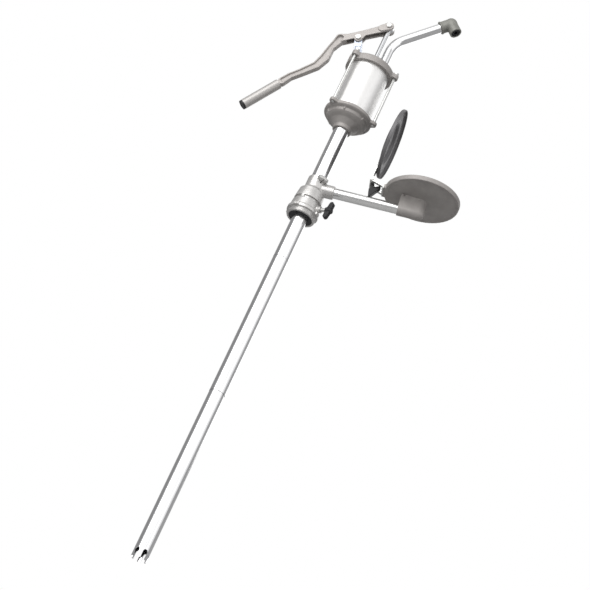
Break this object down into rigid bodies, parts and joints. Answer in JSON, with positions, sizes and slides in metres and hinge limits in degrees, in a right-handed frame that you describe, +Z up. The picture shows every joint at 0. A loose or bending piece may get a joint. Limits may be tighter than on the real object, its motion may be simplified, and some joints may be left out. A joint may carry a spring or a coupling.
{
  "type": "hand drum pump",
  "caption": "Lever-action hand pump on a suction tube, with a clamp-on bung adapter, a drain-back drip pan under a hinged lid, and a bent swivelling spout.",
  "frame": {"origin": "on the pump's axis, at the lower rim of the bung ring", "axes": "+Z up along the pump's axis, +X along the spout, -X along the lever"},
  "size_m": [0.5201, 0.1695, 1.3664],
  "materials": {
    "bright_cast": "die-cast, lightly tumbled",
    "grey_cast": "sand-cast, dull grey",
    "lever_cast": "cast, blasted",
    "link_cast": "zinc plated forging",
    "grip_sleeve": "plated tube sleeve",
    "plated_tube": "bright plated steel tube",
    "plated_rod": "ground and hard-chromed",
    "satin_barrel": "drawn and satin polished",
    "zinc_steel": "bright zinc plated",
    "brass": "machined",
    "seal_rubber": "moulded nitrile",
    "black_plastic": "moulded"
  },
  "bodies": {
    "bung": {"bung_ring": "bright_cast", "ring_insert": "black_plastic"},
    "wing": {"wing_screw": "zinc_steel", "wing_knob": "black_plastic"},
    "adapter": {"adapter_tee": "bright_cast", "neck_seal": "seal_rubber", "clamp_screw": "zinc_steel", "clamp_nut": "zinc_steel", "drain_arm": "plated_tube", "drip_pan": "grey_cast", "pan_strainer": "zinc_steel", "pan_bracket": "zinc_steel", "pan_bracket_rivets": "zinc_steel", "hinge_pin": "zinc_steel"},
    "lid": {"pan_lid": "grey_cast", "lid_bracket": "zinc_steel", "lid_rivets": "zinc_steel", "lid_stop": "black_plastic"},
    "pump": {"suction_tube_upper": "plated_tube", "suction_tube_middle": "plated_tube", "suction_tube_lower": "plated_tube", "tube_nipple_upper": "zinc_steel", "tube_nipple_lower": "zinc_steel", "lower_cap": "grey_cast", "inlet_seat": "brass", "inlet_cage": "brass", "gasket_lower": "seal_rubber", "cylinder": "satin_barrel", "gasket_upper": "seal_rubber", "upper_cap": "grey_cast", "tie_rods": "zinc_steel", "tie_rod_washers": "zinc_steel", "tie_rod_nuts": "zinc_steel", "rod_bush": "brass", "gland_packing": "seal_rubber", "gland_nut": "zinc_steel", "spout_seal": "seal_rubber", "spout_grub_screw": "zinc_steel"},
    "inlet_valve": {"inlet_disc": "brass"},
    "piston": {"piston_rod": "plated_rod", "piston_body": "bright_cast", "piston_cup": "seal_rubber", "piston_retainer": "zinc_steel", "retainer_screws": "zinc_steel", "lift_stop": "zinc_steel", "piston_nut": "zinc_steel"},
    "piston_flap": {"piston_valve": "brass"},
    "lever": {"lever": "lever_cast", "lever_grip": "grip_sleeve", "grip_plug": "black_plastic", "pin_bolt": "zinc_steel", "pin_nut": "zinc_steel", "fulcrum_bolt": "zinc_steel", "fulcrum_nut": "zinc_steel"},
    "link": {"link": "link_cast", "link_foot_pin": "zinc_steel"},
    "spout": {"spout_tube": "plated_tube", "spout_elbow": "grey_cast", "nozzle_insert": "black_plastic"}
  },
  "joints": [
    {"name": "adapter_swivel", "type": "hinge", "parent": "bung", "child": "adapter", "pos_m": [0, 0, 0.034], "axis": [0, 0, 1], "continuous": true},
    {"name": "wing_screw_turn", "type": "hinge", "parent": "bung", "child": "wing", "pos_m": [0, 0, 0.025], "axis": [0.9563, -0.2924, 0], "range_deg": [0, 810]},
    {"name": "lid_hinge", "type": "hinge", "parent": "adapter", "child": "lid", "pos_m": [0.10221, 0.01528, 0.13724], "axis": [-0.1478, 0.989, 0], "range_deg": [0, 81]},
    {"name": "pump_height", "type": "slide", "parent": "adapter", "child": "pump", "axis": [0, 0, 1], "range_m": [-0.1, 0.08]},
    {"name": "inlet_lift", "type": "slide", "parent": "pump", "child": "inlet_valve", "axis": [0, 0, 1], "range_m": [0, 0.004]},
    {"name": "rod_slide", "type": "slide", "parent": "pump", "child": "piston", "axis": [0, 0, 1], "range_m": [-0.066, 0]},
    {"name": "piston_flap_lift", "type": "slide", "parent": "piston", "child": "piston_flap", "axis": [0, 0, 1], "range_m": [0, 0.003]},
    {"name": "lever_pivot", "type": "hinge", "parent": "piston", "child": "lever", "pos_m": [0, 0, 0.5195], "axis": [0, 1, 0], "range_deg": [0, 48.4]},
    {"name": "link_swing", "type": "hinge", "parent": "lever", "child": "link", "pos_m": [-0.0535, 0, 0.4715], "axis": [0, 1, 0], "range_deg": [-69.5, 0]},
    {"name": "spout_swivel", "type": "hinge", "parent": "pump", "child": "spout", "pos_m": [0.021, 0, 0.408], "axis": [0, 0, 1], "range_deg": [-60, 60]}
  ],
  "couplings": [
    {"joint": "lever_pivot", "follows": "rod_slide", "rad_per_m": -12.8},
    {"joint": "link_swing", "follows": "rod_slide", "rad_per_m": 18.38}
  ]
}
